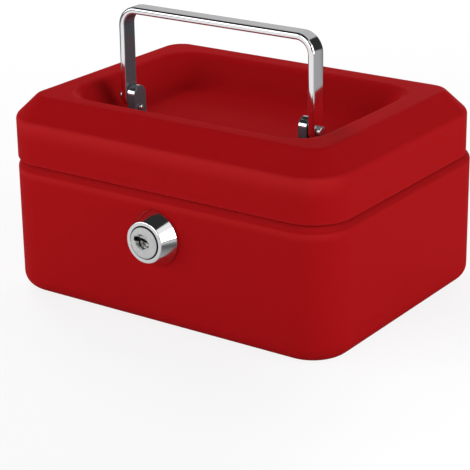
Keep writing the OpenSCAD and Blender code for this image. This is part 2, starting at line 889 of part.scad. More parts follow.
// Half of the bail: half the grip, a bend and a leg with a round end
module half_handle() {
    mid_r = handle_bend_r - strip_t / 2;
    leg_x = handle_w / 2 - strip_t / 2;
    bend_z = handle_reach - handle_bend_r;
    translate([leg_x, 0, 0]) linear_extrude(bend_z) strip_section();
    translate([leg_x - mid_r, 0, bend_z])
        rotate([90, 0, 0])
            rotate_extrude(angle = 90) translate([mid_r, 0]) strip_section();
    translate([0, 0, handle_reach - strip_t / 2])
        rotate([0, 90, 0])
            linear_extrude(leg_x - mid_r) strip_section();
    // The round end is the same section turned about the pivot
    translate([leg_x, 0, 0]) rotate([0, 90, 0])
        rotate_extrude()
            intersection() {
                rotate([0, 0, 90]) strip_section();
                translate([0, -strip_t]) square([strip_w, 2 * strip_t]);
            }
}

module handle() {
    color(chrome) translate([0, pivot_y, pivot_z]) difference() {
        union() {
            on_side(1) half_handle();
            on_side(-1) half_handle();
        }
        rod_x(2 * pivot_hole_r, -handle_w, handle_w);
    }
}

base_shell();
coin_tray();
hinge_leaf_lower();
hinge_pin();
hinge_rivets_lower();
lock_housing();
lock_washer();
lock_nut();
lid_shell();
hinge_leaf_upper();
hinge_rivets_upper();
lock_strike();
handle_lug_left();
handle_lug_right();
pivot_pin_left();
pivot_pin_right();
lug_cross_pin_left();
lug_cross_pin_right();
lug_screw_left();
lug_screw_right();
lug_washer_left();
lug_washer_right();
handle();
lock_plug();
lock_wafers();
lock_cam();
cam_washer();
cam_screw();
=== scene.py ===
# %% [markdown]
# # A small steel cash box
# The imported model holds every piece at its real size. This script dresses it: it makes smooth surfaces
# for the pieces that the eye rests on, gives every piece a finish, and sets up a plain studio.
# Everything is in metres, with the origin in the middle of the box's underside, +Z up and the lock
# facing -Y.

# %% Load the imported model
import json
import math

import bmesh
import bpy
import numpy as np
from mathutils import Matrix, Vector


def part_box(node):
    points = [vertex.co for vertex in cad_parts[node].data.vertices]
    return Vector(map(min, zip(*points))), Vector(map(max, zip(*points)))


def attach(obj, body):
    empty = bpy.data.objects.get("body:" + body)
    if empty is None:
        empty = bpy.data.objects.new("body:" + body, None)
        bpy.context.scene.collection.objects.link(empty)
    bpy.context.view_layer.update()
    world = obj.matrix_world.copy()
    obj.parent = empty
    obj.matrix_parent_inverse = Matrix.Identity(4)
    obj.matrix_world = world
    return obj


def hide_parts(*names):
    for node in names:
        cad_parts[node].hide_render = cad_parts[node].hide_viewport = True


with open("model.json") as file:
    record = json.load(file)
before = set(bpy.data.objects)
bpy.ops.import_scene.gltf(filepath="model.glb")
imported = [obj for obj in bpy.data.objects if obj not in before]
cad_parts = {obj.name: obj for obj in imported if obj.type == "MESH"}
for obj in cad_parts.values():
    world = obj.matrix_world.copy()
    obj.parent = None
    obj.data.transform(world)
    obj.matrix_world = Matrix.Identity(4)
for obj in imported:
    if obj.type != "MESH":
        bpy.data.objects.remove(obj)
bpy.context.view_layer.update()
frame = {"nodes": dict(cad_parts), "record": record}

MM = 0.001


def node_box(node):
    """Lowest and highest corner of a CAD node, in millimetres."""
    low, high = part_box(node)
    return np.array(low) / MM, np.array(high) / MM


print("height with the handle up:", round(node_box("handle")[1][2], 1), "mm")

# %% [markdown]
# ## Camera
# A camera is a point, a direction and a lens. The box is seen from its right front corner, a little
# from above, with a long lens, so its upright edges stay almost parallel. The matrix is built from
# three directions: right, up and back. A small roll tips the horizon by less than a degree.

# %% Camera
FRAME_PX = 470
FOCAL_PX = 1770.8
AZIMUTH, ELEVATION, ROLL = (math.radians(a) for a in (35.24, 20.71, -0.85))
LOOK_AT = Vector((-4.81, -0.48, 18.21)) * MM
DISTANCE = 718.2 * MM
SENSOR_MM = 36

back = Vector((
    math.sin(AZIMUTH) * math.cos(ELEVATION),
    -math.cos(AZIMUTH) * math.cos(ELEVATION),
    math.sin(ELEVATION),
))
level_right = (-back).cross(Vector((0, 0, 1))).normalized()
level_up = level_right.cross(-back)
right = level_right * math.cos(ROLL) + level_up * math.sin(ROLL)
up = level_up * math.cos(ROLL) - level_right * math.sin(ROLL)

camera = bpy.data.objects.new("camera", bpy.data.cameras.new("camera"))
camera.data.sensor_width = SENSOR_MM
camera.data.lens = FOCAL_PX / FRAME_PX * SENSOR_MM
camera.data.clip_start = 0.01
facing = Matrix((right, up, back)).transposed().to_4x4()
camera.matrix_world = Matrix.Translation(LOOK_AT + back * DISTANCE) @ facing
bpy.context.scene.collection.objects.link(camera)
bpy.context.scene.camera = camera
print("lens", round(camera.data.lens, 1), "mm")

# %% [markdown]
# ## Shader maths as Python
# A finish is a net of shader nodes. Drawing nets by hand is slow, so a small class wraps a socket and
# lets Python add, subtract and multiply it: each operator adds one Math node. The reflected forms make
# `1 - mask` work as `mask - 1` does.


# %% Numbers in a net
class Number:
    """A socket that carries one number and knows its operators."""

    def __init__(self, net, socket):
        self.net, self.socket = net, socket

    def maths(self, operation, *others):
        return self.net.add("ShaderNodeMath", {"operation": operation}, dict(enumerate((self, *others))))

    def __add__(self, other):
        return self.maths("ADD", other)

    def __sub__(self, other):
        return self.maths("SUBTRACT", other)

    def __rsub__(self, other):
        return self.net.add("ShaderNodeMath", {"operation": "SUBTRACT"}, {0: other, 1: self})

    def __mul__(self, other):
        return self.maths("MULTIPLY", other)

    __radd__ = __add__
    __rmul__ = __mul__


# %% [markdown]
# ## One method for every node
# Every node comes from `Net.add`, which takes the node's type, its settings, such as a ramp's stops,
# and its inputs. The short methods after it are the few nets that come back often: a mix of two
# colours, the reach of a vector along a direction, and a smooth step.


# %% A net of nodes
def ramp_stops(ramp, stops):
    """Sets a colour ramp's stops from (position, colour) pairs."""
    while len(ramp.elements) > 1:
        ramp.elements.remove(ramp.elements[-1])
    for index, (position, colour) in enumerate(stops):
        element = ramp.elements[0] if index == 0 else ramp.elements.new(position)
        element.position = position
        element.color = (*colour, 1)


class Net:
    """A net of shader nodes, with one method that adds any node to it."""

    def __init__(self, tree):
        self.tree = tree

    def add(self, kind, settings=None, inputs=None, output=0):
        """One node of any kind; inputs are numbers, tuples or earlier results, by name or place."""
        made = self.tree.nodes.new(kind)
        for key, value in (settings or {}).items():
            if key == "stops":
                ramp_stops(made.color_ramp, value)
            else:
                setattr(made, key, value)
        for key, value in (inputs or {}).items():
            self.connect(value, made.inputs[key])
        return Number(self, made.outputs[output])

    def connect(self, value, socket):
        if isinstance(value, Number):
            self.tree.links.new(value.socket, socket)
        else:
            socket.default_value = value

    def place(self, kind="Object"):
        return self.add("ShaderNodeTexCoord", output=kind)

    def mix(self, factor, colour_a, colour_b):
        return self.add("ShaderNodeMix", {"data_type": "RGBA"},
                        {0: factor, 6: colour_a, 7: colour_b}, output=2)

    def toward(self, vector, way):
        """How far `vector` reaches along the direction `way`."""
        return self.add("ShaderNodeVectorMath", {"operation": "DOT_PRODUCT"},
                        {0: vector, 1: way}, output="Value")

    def soft_step(self, value, low, high):
        """0 below `low`, 1 above `high` and a smooth rise between them."""
        return self.add("ShaderNodeMapRange", {"interpolation_type": "SMOOTHSTEP"},
                        {"Value": value, "From Min": low, "From Max": high})

    def seen_by(self, kind):
        """1 for rays of one kind, such as "Camera" or "Glossy", and 0 for the rest."""
        return self.add("ShaderNodeLightPath", output=f"Is {kind} Ray")

    def surface(self, shader):
        """Makes `shader` the last word of the net."""
        ends = [node for node in self.tree.nodes if node.bl_idname.startswith("ShaderNodeOutput")]
        self.connect(shader, ends[0].inputs["Surface"])


# %% [markdown]
# ## A finish
# A finish is a net with one Principled shader at its end. The finishes below only say what feeds it:
# most of them let a little noise into the roughness and the normal, because no made surface is even.


# %% A finish
class Finish(Net):
    """A material with one Principled shader and short ways to feed it."""

    def __init__(self, name, **sockets):
        self.material = bpy.data.materials.new(name)
        self.material.use_nodes = True
        super().__init__(self.material.node_tree)
        self.shader = self.tree.nodes["Principled BSDF"]
        self.feed(**sockets)

    def feed(self, **sockets):
        """Sets or links the Principled shader's sockets, such as Base_Color or Roughness."""
        for key, value in sockets.items():
            self.connect(value, self.shader.inputs[key.replace("_", " ")])

    def noise(self, scale, detail=2.0, rough=0.5, at=None):
        """Fractal noise from 0 to 1, with about `scale` lumps to the metre."""
        return self.add("ShaderNodeTexNoise", {"noise_dimensions": "3D"}, {
            "Vector": at or self.place(), "Scale": scale, "Detail": detail, "Roughness": rough})

    def bump(self, height, depth, strength=1.0):
        """Feeds the normal: `height` runs from 0 to 1 and `depth` is that rise in metres."""
        self.feed(Normal=self.add("ShaderNodeBump", {},
                                  {"Height": height, "Distance": depth, "Strength": strength}))

    def report(self):
        print(self.material.name, len(self.tree.nodes), "nodes")


# %% [markdown]
# ## The red powder coat
# Powder coat is melted plastic dust. Up close it has a fine orange-peel texture, with lumps about a
# millimetre apart and a few hundredths deep, and it is neither glossy nor flat: its highlights are broad
# and soft. Two sizes of noise give the lumps, and a third one, much larger, lets the colour drift a
# little, as a sprayed coat does. A colour map painted by hand would do it too, but noise has no edges
# and needs no unwrapping.

# %% Red powder coat
RED = (0.325, 0.0042, 0.0056, 1)
RED_LIGHT = (0.385, 0.0058, 0.0079, 1)

powder = Finish("red_powder_coat", Specular_IOR_Level=0.02)
peel = powder.noise(scale=900, detail=1.5)
dust = powder.noise(scale=3800, detail=1.0)
powder.bump(peel * 0.7 + dust * 0.3, depth=0.00006, strength=0.55)
drift = powder.noise(scale=16, detail=3.0)
coat = powder.mix(drift * 0.4 + peel * 0.4 + dust * 0.2, RED, RED_LIGHT)

# %% [markdown]
# ## Painted highlights and shade on the coat
# A painted highlight, a lighter red, lies along the front bends: below the bevel and on the base's
# shoulder. A weaker one runs right round the lid's edge. A painted shade, a deeper red, lies on the
# shoulder under the lid's edge, mostly away from the front. All of these lie at one height right round
# the box, so each is a band between four heights: where it starts, where it is full, where it begins to
# fade and where it ends.

# %% Painted highlights and shade on the coat
RED_PAINTED_HIGHLIGHT = (0.43, 0.013, 0.015, 1)
RED_PAINTED_SHADE = (0.25, 0.003, 0.004, 1)
BEVEL_CREASE = (0.0635, 0.0705, 0.071, 0.0722)
SHOULDER_BEND = (0.0475, 0.0501, 0.0506, 0.0514)
LID_EDGE = (0.0515, 0.0535, 0.0545, 0.0556)
SEAM_SHADE_BAND = (0.0506, 0.0514, 0.0536, 0.0541)

height = powder.toward(powder.place(), (0, 0, 1))
at_front = powder.soft_step(powder.toward(powder.place(), (0, -1, 0)), 0.042, 0.056)


def band(low, full, still, high):
    """1 between the heights `full` and `still`, fading to 0 at `low` and `high`, in metres."""
    return powder.soft_step(height, low, full) * (1 - powder.soft_step(height, still, high))


# Painted highlights on the front bends and the lid's edge, and painted shade in the seam under the lid's
# edge.
bends = band(*BEVEL_CREASE) * 0.8 + band(*SHOULDER_BEND) * 0.6
seam_shade = band(*SEAM_SHADE_BAND) * (1 - at_front * 0.8) * 0.6
highlighted_coat = powder.mix(bends * at_front + band(*LID_EDGE) * 0.4, coat, RED_PAINTED_HIGHLIGHT)
powder.feed(Base_Color=powder.mix(seam_shade, highlighted_coat, RED_PAINTED_SHADE), Roughness=0.6 + peel * 0.15)
powder.report()

# %% [markdown]
# ## Polished chrome
# Chrome is a mirror, so nearly all its look comes from what it reflects. What keeps it from looking
# computed is a trace of waviness from the polishing wheel, and a roughness that is a little higher in
# some places.

# %% Polished chrome
chrome = Finish("polished_chrome")
wave = chrome.noise(scale=90, detail=1.0)
smear = chrome.noise(scale=420, detail=4.0, rough=0.7)
chrome.bump(wave, depth=0.00004, strength=0.25)

# %% [markdown]
# ## Painted dark reflection inside the handle
# The handle's inner face gets a dark, less metallic colour: a painted dark reflection. That face is
# found by its distance from a rounded U, the inside of the bent strip: the distance past the U's corner
# centres, sideways and upward, less the inner bend radius. The lugs stand inside the U. Their round tops
# keep the bright chrome, and their flat sides and feet get the same painted dark reflection.

# %% Painted dark reflection inside the handle
STRIP_T, BEND_R = 2.8, 8.0
BRIGHT_PLATE, DARK_PAINTED_REFLECTION = (0.78, 0.78, 0.8, 1), (0.085, 0.105, 0.12, 1)

bend_in = (BEND_R - STRIP_T) * MM
handle_corner = node_box("handle")[1] * MM
at = chrome.place()
off_middle = chrome.toward(at, (1, 0, 0)).maths("ABSOLUTE")
out = (off_middle - (handle_corner[0] - BEND_R * MM)).maths("MAXIMUM", 0)
over = (chrome.toward(at, (0, 0, 1)) - (handle_corner[2] - BEND_R * MM)).maths("MAXIMUM", 0)
from_inside = (out * out + over * over).maths("SQRT") - bend_in
in_strip = chrome.soft_step(from_inside, -0.25 * MM, -0.1 * MM)
inner_face = in_strip * (1 - chrome.soft_step(from_inside, 0.1 * MM, 0.5 * MM))

lug_corner = node_box("handle_lug_left")[1] * MM
from_top = chrome.toward(at, (0, 0, 1)) - lug_corner[2]
from_side = off_middle + lug_corner[0]
lug_top = chrome.soft_step(from_top, -3.6 * MM, -2.6 * MM)
lug_top = lug_top * chrome.soft_step(from_side, 0.3 * MM, 0.5 * MM)
lug = (1 - in_strip) * chrome.soft_step(from_top, -20 * MM, -19 * MM)
# The mask below paints a dark reflection into the colour of the handle's inner face and the lugs' sides
# and feet.
painted_dark_reflection = inner_face + lug * (1 - lug_top)
chrome.feed(
    Base_Color=chrome.mix(painted_dark_reflection, BRIGHT_PLATE, DARK_PAINTED_REFLECTION),
    Metallic=1 - painted_dark_reflection * 0.75,
    Roughness=0.05 + smear * 0.07,
)
chrome.report()

# %% [markdown]
# ## Plain plate on the pins
# The pins are turned and plated but not buffed, so they blur what they mirror. The same metal with a
# higher roughness is all it takes.

# %% Plain plate on the pins
pin_plate = Finish("plain_plated_pin", Metallic=1.0, Base_Color=(0.5, 0.5, 0.52, 1))
pin_plate.feed(Roughness=0.24 + pin_plate.noise(scale=900, detail=3.0) * 0.16)
pin_plate.report()

# %% [markdown]
# ## Satin nickel on the plug
# The plug's face is turned on a lathe, so it carries fine rings about the lock's axis. Noise read along
# the distance from that axis, and nothing else, gives rings. A near-black painted shade lies in the
# groove round the plug and down the keyway's slot. Deep in the round notch beside the slot the colour is
# a brighter, paler nickel instead.

# %% Satin nickel
lock_low, lock_high = node_box("lock_housing")
LOCK_Z = (lock_low[2] + lock_high[2]) / 2

satin = Finish("satin_nickel", Metallic=1.0)
from_axis = satin.add("ShaderNodeVectorMath", {"operation": "SUBTRACT"},
                      {0: satin.place(), 1: (0, 0, LOCK_Z * MM)})
flat = satin.add("ShaderNodeVectorMath", {"operation": "MULTIPLY"}, {0: from_axis, 1: (1, 0, 1)})
radius = satin.add("ShaderNodeVectorMath", {"operation": "LENGTH"}, {0: flat}, output="Value")
rings = satin.noise(1.0, detail=2.0, at=satin.add("ShaderNodeCombineXYZ", {}, {"X": radius * 9000}))
blotch = satin.noise(scale=700, detail=3.0)
satin.bump(rings, depth=0.00001, strength=0.5)

# %% Painted shade and a bright notch on the plug
NICKEL_DULL, NICKEL_PALE = (0.5, 0.5, 0.51, 1), (0.7, 0.7, 0.69, 1)
NICKEL_BRIGHT_NOTCH, PAINTED_SLOT_SHADE = (0.95, 0.94, 0.92, 1), (0.02, 0.02, 0.022, 1)
KEYWAY_TILT = math.radians(16)

depth = satin.toward(satin.place(), (0, 1, 0)) - node_box("lock_plug")[0][1] * MM
across_slot = (math.sin(KEYWAY_TILT), 0, math.cos(KEYWAY_TILT))
off_slot = satin.toward(from_axis, across_slot).maths("ABSOLUTE")
# A brighter, paler nickel deep in the round notch beside the slot.
bright_notch = satin.soft_step(depth, 1.8 * MM, 2.1 * MM) * satin.soft_step(off_slot, 1.05 * MM, 1.2 * MM)
in_slot = satin.soft_step(depth, 0.85 * MM, 1.0 * MM) * (1 - bright_notch)
# Near-black painted shade in the groove round the plug and down the keyway's slot.
slot_shade = satin.soft_step(radius, 6.0 * MM, 6.18 * MM) + in_slot
nickel = satin.mix(bright_notch, satin.mix(blotch, NICKEL_DULL, NICKEL_PALE), NICKEL_BRIGHT_NOTCH)
satin.feed(Roughness=0.3 + rings * 0.12, Base_Color=satin.mix(slot_shade, nickel, PAINTED_SLOT_SHADE))
satin.report()

# %% [markdown]
# ## Rubbed wafers
# The wafers are thin plated brass, and every turn of the key rubs them. They are brighter and a touch
# warmer than the plug.

# %% Rubbed wafers
wafer_metal = Finish("rubbed_nickel", Metallic=1.0)
key_marks = wafer_metal.noise(scale=1500, detail=2.0)
wafer_metal.feed(
    Roughness=0.18 + key_marks * 0.15,
    Base_Color=wafer_metal.mix(key_marks, (0.75, 0.73, 0.7, 1), (0.9, 0.89, 0.86, 1)),
)
wafer_metal.report()

# %% [markdown]
# ## Zinc plate
# The hinge, the strike and the fasteners are zinc plated: a pale grey with cloudy patches and fine
# rolling lines. The lines are noise on a place that is squeezed in two directions, so each lump is long
# and thin.

# %% Zinc plate
zinc = Finish("zinc_plate", Metallic=1.0)
cloud = zinc.noise(scale=180, detail=3.0)
stretched = zinc.add("ShaderNodeMapping", {}, {"Vector": zinc.place(), "Scale": (40, 2500, 2500)})
lines = zinc.noise(1.0, detail=2.0, at=stretched)
zinc.bump(lines, depth=0.00001, strength=0.4)
zinc.feed(
    Base_Color=zinc.mix(cloud, (0.42, 0.43, 0.44, 1), (0.62, 0.63, 0.62, 1)),
    Roughness=0.28 + cloud * 0.2,
)
zinc.report()

# %% [markdown]
# ## Moulded plastic
# The tray is black plastic from a mould with a fine spark texture, which gives a dull, even sheen. Where
# it is handled the sheen is a little uneven.

# %% Moulded plastic
plastic = Finish("black_moulded_plastic")
spark = plastic.noise(scale=2600, detail=2.0)
handled = plastic.noise(scale=60, detail=3.0)
plastic.bump(spark, depth=0.00004, strength=0.5)
plastic.feed(
    Roughness=0.4 + handled * 0.15,
    Base_Color=plastic.mix(handled, (0.01, 0.01, 0.011, 1), (0.02, 0.02, 0.021, 1)),
)
plastic.report()

# %% [markdown]
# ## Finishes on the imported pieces
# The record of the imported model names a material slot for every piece. Each slot gets one finish, and
# only the wafers, which share the plug's slot, get their own.

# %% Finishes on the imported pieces
FINISHES = {
    "red_paint": powder,
    "polished_chrome": chrome,
    "satin_nickel": satin,
    "plated_steel": zinc,
    "black_plastic": plastic,
}
SLOT_OF = {part["node"]: part["material_slot"] for part in frame["record"]["subparts"]}

for name, node in frame["nodes"].items():
    node.data.materials.clear()
    finish = wafer_metal if name == "lock_wafers" else FINISHES[SLOT_OF[name]]
    node.data.materials.append(finish.material)
print("finishes:", sorted(FINISHES))

# %% [markdown]
# ## Surfaces from arrays
# Every new piece below is a grid of points worked out with numpy. `piece` turns a grid into a mesh: rows
# run one way round the shape and columns the other, and either may close on itself. Doubled points are
# merged, so poles and seams are closed, and the normals are made to point outward.


# %% Grid to mesh
def piece(name, grid, finish_slot, body, replaced,
          closed=(True, False), caps=(), sharp=35, finish=None):
    """Mesh from a grid of shape (rows, columns, 3) in millimetres; caps are extra rings to fill."""
    rows, columns, _ = grid.shape
    row = np.arange(rows if closed[0] else rows - 1)[:, None]
    column = np.arange(columns if closed[1] else columns - 1)[None, :]
    here, there = row * columns, (row + 1) % rows * columns
    beside = (column + 1) % columns
    quads = np.stack([here + column, there + column, there + beside, here + beside], -1)
    mesh = bpy.data.meshes.new(name)
    faces = quads.reshape(-1, 4).tolist() + [list(cap) for cap in caps]
    mesh.from_pydata((grid.reshape(-1, 3) * MM).tolist(), [], faces)
    tidy_mesh(mesh)
    mesh.shade_smooth()
    mesh.set_sharp_from_angle(angle=math.radians(sharp))
    mesh.materials.append((finish or FINISHES[finish_slot]).material)
    made = bpy.data.objects.new(name, mesh)
    bpy.context.scene.collection.objects.link(made)
    even = made.modifiers.new("even normals", "WEIGHTED_NORMAL")
    even.keep_sharp = True
    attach(made, body)
    if replaced:
        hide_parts(*replaced)
    print(name, len(mesh.polygons), "faces")
    return made


def tidy_mesh(mesh):
    """Merges doubled points, drops faces with no area and turns the rest outward."""
    work = bmesh.new()
    work.from_mesh(mesh)
    bmesh.ops.remove_doubles(work, verts=work.verts, dist=2e-6)
    bmesh.ops.dissolve_degenerate(work, edges=work.edges, dist=1e-6)
    bmesh.ops.recalc_face_normals(work, faces=work.faces)
    work.to_mesh(mesh)
    work.free()


# %% [markdown]
# ## Bent sheet
# A pressed steel wall is one path with rounded bends. `bent` replaces each corner of a path by an arc,
# and `beside` moves the path sideways by the thickness of the sheet. The two together are the section of
# a wall. `carry` takes that section round a rounded rectangle: a point at distance x from a corner's
# centre stays at that distance all the way round.


# %% Bent sheet
def bent(points, radii, step=6):
    """The path with each corner rounded: arc centre = tangent point + radius * normal."""
    points = np.asarray(points, float)
    made = [points[0]]
    for before, corner, after, radius in zip(points, points[1:], points[2:], radii[1:]):
        way_in = (corner - before) / np.linalg.norm(corner - before)
        way_out = (after - corner) / np.linalg.norm(after - corner)
        turn = math.atan2(way_in[0] * way_out[1] - way_in[1] * way_out[0], way_in @ way_out)
        start = corner - way_in * radius * abs(math.tan(turn / 2))
        normal = np.array([-way_in[1], way_in[0]]) * np.sign(turn)
        centre = start + normal * radius
        a = np.linspace(0, turn, max(2, math.ceil(abs(math.degrees(turn)) / step)) + 1)
        arm = start - centre
        made.extend(centre + np.stack([arm[0] * np.cos(a) - arm[1] * np.sin(a),
                                       arm[0] * np.sin(a) + arm[1] * np.cos(a)], -1))
    made.append(points[-1])
    return np.array(made)


def beside(path, distance):
    """The path moved to its left: each point moves along the mean normal of its two sides."""
    along = np.diff(path, axis=0)
    along /= np.linalg.norm(along, axis=1)[:, None]
    normals = np.stack([-along[:, 1], along[:, 0]], -1)
    first, last = np.vstack([normals[:1], normals]), np.vstack([normals, normals[-1:]])
    return path + distance * (first + last) / (1 + (first * last).sum(1))[:, None]


def corner_stations(step=6):
    """Unit directions round the four corners, with the sign of the corner each belongs to."""
    a = np.radians(np.concatenate([np.arange(0, 90.1, step) + 90 * k for k in range(4)]))
    corner = np.repeat(np.arange(4), len(a) // 4)
    signs = np.array([[1, 1], [-1, 1], [-1, -1], [1, -1]])[corner]
    return np.stack([np.cos(a), np.sin(a)], -1), signs


def carry(path, width, depth, radius, mid_y=0.0):
    """Grid (stations, path points, 3): corner centre + x * direction, at height z."""
    way, signs = corner_stations()
    centre = signs * np.array([width / 2 - radius, depth / 2 - radius])
    x, z = path[:, 0], path[:, 1]
    flat = centre[:, None, :] + way[:, None, :] * x[None, :, None]
    flat[..., 1] += mid_y
    return np.concatenate([flat, np.broadcast_to(z[None, :, None], (*flat.shape[:2], 1))], -1)


def corner_ring(columns, column, steps):
    """The grid places of one column, one from each corner: the rim of the flat middle."""
    return [k * steps * columns + column for k in range(4)]


# %% [markdown]
# ## The base
# The base is one drawn shell. From the middle of the floor its wall turns up through the foot, rises,
# comes in through the shoulder that the lid rests over, and ends in a neck with a folded hem. The neck
# stops before the back corners, because the lid's back wall comes down there.

# %% Section of the base
SHEET = 0.8
base_low, base_high = node_box("base_shell")
BOX_W, BOX_D = base_high[0] - base_low[0], base_high[1] - base_low[1]
NECK_Z = base_high[2]
CORNER_R, FOOT_R = 16.5, 6.6
SHOULDER_Z, SHOULDER_R, NECK_IN = 50.7, 3.3, 2.1
HEM_H = 3.6

shoulder_turn = math.acos(1 - NECK_IN / SHOULDER_R)
SHOULDER_TOP = SHOULDER_Z + SHOULDER_R * math.sin(shoulder_turn)
neck_x = CORNER_R - NECK_IN
outside = bent(
    [[0, 0], [CORNER_R, 0],
     [CORNER_R, SHOULDER_Z + SHOULDER_R * math.tan(shoulder_turn / 2)],
     [neck_x, SHOULDER_TOP], [neck_x, NECK_Z - SHEET]],
    [0, FOOT_R, SHOULDER_R, 0],
)
inside = beside(outside, SHEET)[::-1]
hem_end = inside[0][1] - HEM_H
inside = inside[inside[:, 1] < hem_end]
hem_turn = np.radians(np.arange(15, 180, 15))
hem_centre = np.array([neck_x - SHEET, NECK_Z - SHEET])
hem = hem_centre + SHEET * np.stack([np.cos(hem_turn), np.sin(hem_turn)], -1)
fold = [[neck_x - 2 * SHEET, NECK_Z - SHEET], [neck_x - 2 * SHEET, hem_end + 0.3],
        [neck_x - 2 * SHEET + 0.3, hem_end], [neck_x - SHEET, hem_end]]
base_path = np.vstack([outside, hem, fold, inside])
print("section of the base:", len(base_path), "points")

# %% [markdown]
# ## The base goes round
# The section is carried round the rounded rectangle of the box. A cutter would take the neck away at the
# back with a boolean; here the neck's points are pressed down to the shoulder instead, which keeps the
# grid whole and the edges clean. Two flat caps close the middle of the floor, inside and out.

# %% Base shell
base_grid = carry(base_path, BOX_W, BOX_D, CORNER_R)
back_cut = BOX_D / 2 - CORNER_R
at_back = base_grid[:, 0, 1] >= back_cut - 1e-6
way, _ = corner_stations()
at_back &= way[:, 1] > 1e-6
base_grid[at_back, :, 2] = np.minimum(base_grid[at_back, :, 2], SHOULDER_TOP)
stations, columns, _ = base_grid.shape
steps = stations // 4
piece(
    "base_shell_red", base_grid, "red_paint", "base", ["base_shell"],
    caps=[corner_ring(columns, 0, steps), corner_ring(columns, columns - 1, steps)],
)

# %% [markdown]
# ## The lid
# The lid is one pressing too. Its section starts at the curled edge, climbs the skirt, leans in over the
# bevel, runs flat along the rim, rolls over the recess's lip, and slides down to the recess floor. The
# skirt and the recess are two rounded rectangles with different corner centres, so each point of the
# section says which of the two it is measured from. The rim between them is ruled straight across.

# %% Section of the lid
lid_low, lid_high = node_box("lid_shell")
LID_D, LID_Y = lid_high[1] - lid_low[1], (lid_high[1] + lid_low[1]) / 2
RIM_Z, EDGE_Z = lid_high[2], lid_low[2]
CURL_R = 1.6
BEVEL_H, BEVEL_IN, BEVEL_R = 8.5, 9.0, 3.0
RECESS_W, RECESS_D, RECESS_Y = 120.0, 83.5, -3.25
RECESS_R, RECESS_DROP, RECESS_SLOPE = 16.5, 12.5, math.radians(60)
LIP_R, RECESS_FOOT_R = 5.0, 8.0

skirt_path = bent(
    [[CORNER_R - CURL_R - 0.01, EDGE_Z], [CORNER_R, EDGE_Z], [CORNER_R, RIM_Z - BEVEL_H],
     [CORNER_R - BEVEL_IN, RIM_Z], [CORNER_R - BEVEL_IN - 3, RIM_Z]],
    [0, CURL_R, BEVEL_R, BEVEL_R],
)
lip_in = LIP_R * math.tan(RECESS_SLOPE / 2)
run_in = RECESS_DROP / math.tan(RECESS_SLOPE)
recess_path = bent(
    [[RECESS_R, RIM_Z], [RECESS_R - lip_in, RIM_Z], [RECESS_R - lip_in - run_in, RIM_Z - RECESS_DROP],
     [0, RIM_Z - RECESS_DROP]],
    [0, LIP_R, RECESS_FOOT_R],
)
print("section of the lid:", len(skirt_path) + len(recess_path), "points")

# %% [markdown]
# ## The lid goes round
# The upper surface and the underside are the same section, one sheet thickness apart. Solidify could
# thicken the upper surface too, but two sections keep the curled edge's thickness exact.


# %% Lid shell
def lid_surface(skirt, recess):
    """Skirt points round the box's rectangle, then recess points round the recess's own."""
    return np.concatenate([
        carry(skirt, BOX_W, LID_D, CORNER_R, LID_Y),
        carry(recess, RECESS_W, RECESS_D, RECESS_R, RECESS_Y),
    ], axis=1)


top = lid_surface(skirt_path, recess_path)
under = lid_surface(beside(skirt_path, SHEET), beside(recess_path, SHEET))
lid_grid = np.concatenate([top[:, ::-1], under], axis=1)
stations, columns, _ = lid_grid.shape
piece(
    "lid_shell_red", lid_grid, "red_paint", "lid", ["lid_shell"],
    caps=[corner_ring(columns, 0, steps), corner_ring(columns, columns - 1, steps)],
)

# %% [markdown]
# ## The handle
# The handle is one flat strip, bent to a U. Its section is a rounded oblong, which is carried along a
# path that climbs one leg, crosses the grip and comes down the other. A curve object with a bevel would
# do for the U, but not for the round ends below the pivots.

# %% Path of the handle
handle_low, handle_high = node_box("handle")
HANDLE_W, GRIP_Z = handle_high[0] - handle_low[0], handle_high[2]
STRIP_W = handle_high[1] - handle_low[1]
PIVOT_Y, PIVOT_Z = (handle_high[1] + handle_low[1]) / 2, handle_low[2] + STRIP_W / 2
EDGE_R = 1.0


def oblong(thick, wide, edge, per_corner=5):
    """Points round a rounded oblong: corner centre + edge radius * direction."""
    a = np.radians(np.linspace(0, 90, per_corner))
    a = np.concatenate([a + math.pi / 2 * k for k in range(4)])
    sign = np.repeat(np.array([[1, 1], [-1, 1], [-1, -1], [1, -1]]), per_corner, axis=0)
    centre = np.array([thick / 2 - edge, wide / 2 - edge])
    return sign * centre + edge * np.stack([np.cos(a), np.sin(a)], -1)


leg_x, grip_mid = HANDLE_W / 2 - STRIP_T / 2, GRIP_Z - STRIP_T / 2
bend_mid = BEND_R - STRIP_T / 2
middle = bent(
    [[-leg_x, PIVOT_Z], [-leg_x, grip_mid], [leg_x, grip_mid], [leg_x, PIVOT_Z]],
    [0, bend_mid, bend_mid], step=5,
)
tangent = np.gradient(middle, axis=0)
tangent /= np.linalg.norm(tangent, axis=1)[:, None]
tangent[0], tangent[-1] = (0, 1), (0, -1)
outward = np.stack([-tangent[:, 1], tangent[:, 0]], -1)
print("path of the handle:", len(middle), "points,", round(float(HANDLE_W), 1), "mm wide")

# %% [markdown]
# ## Round ends on the handle
# Below each pivot the strip's width shrinks as a circle does: at a drop d below the pivot the half width
# is the square root of the strip's half width squared less d squared. The drops lie close together
# near the tip, where the circle turns fastest.

# %% Handle
END_TURNS = (90, 85, 78, 68, 56, 42, 28, 14)
LEAST_HALF_WIDTH = 0.02

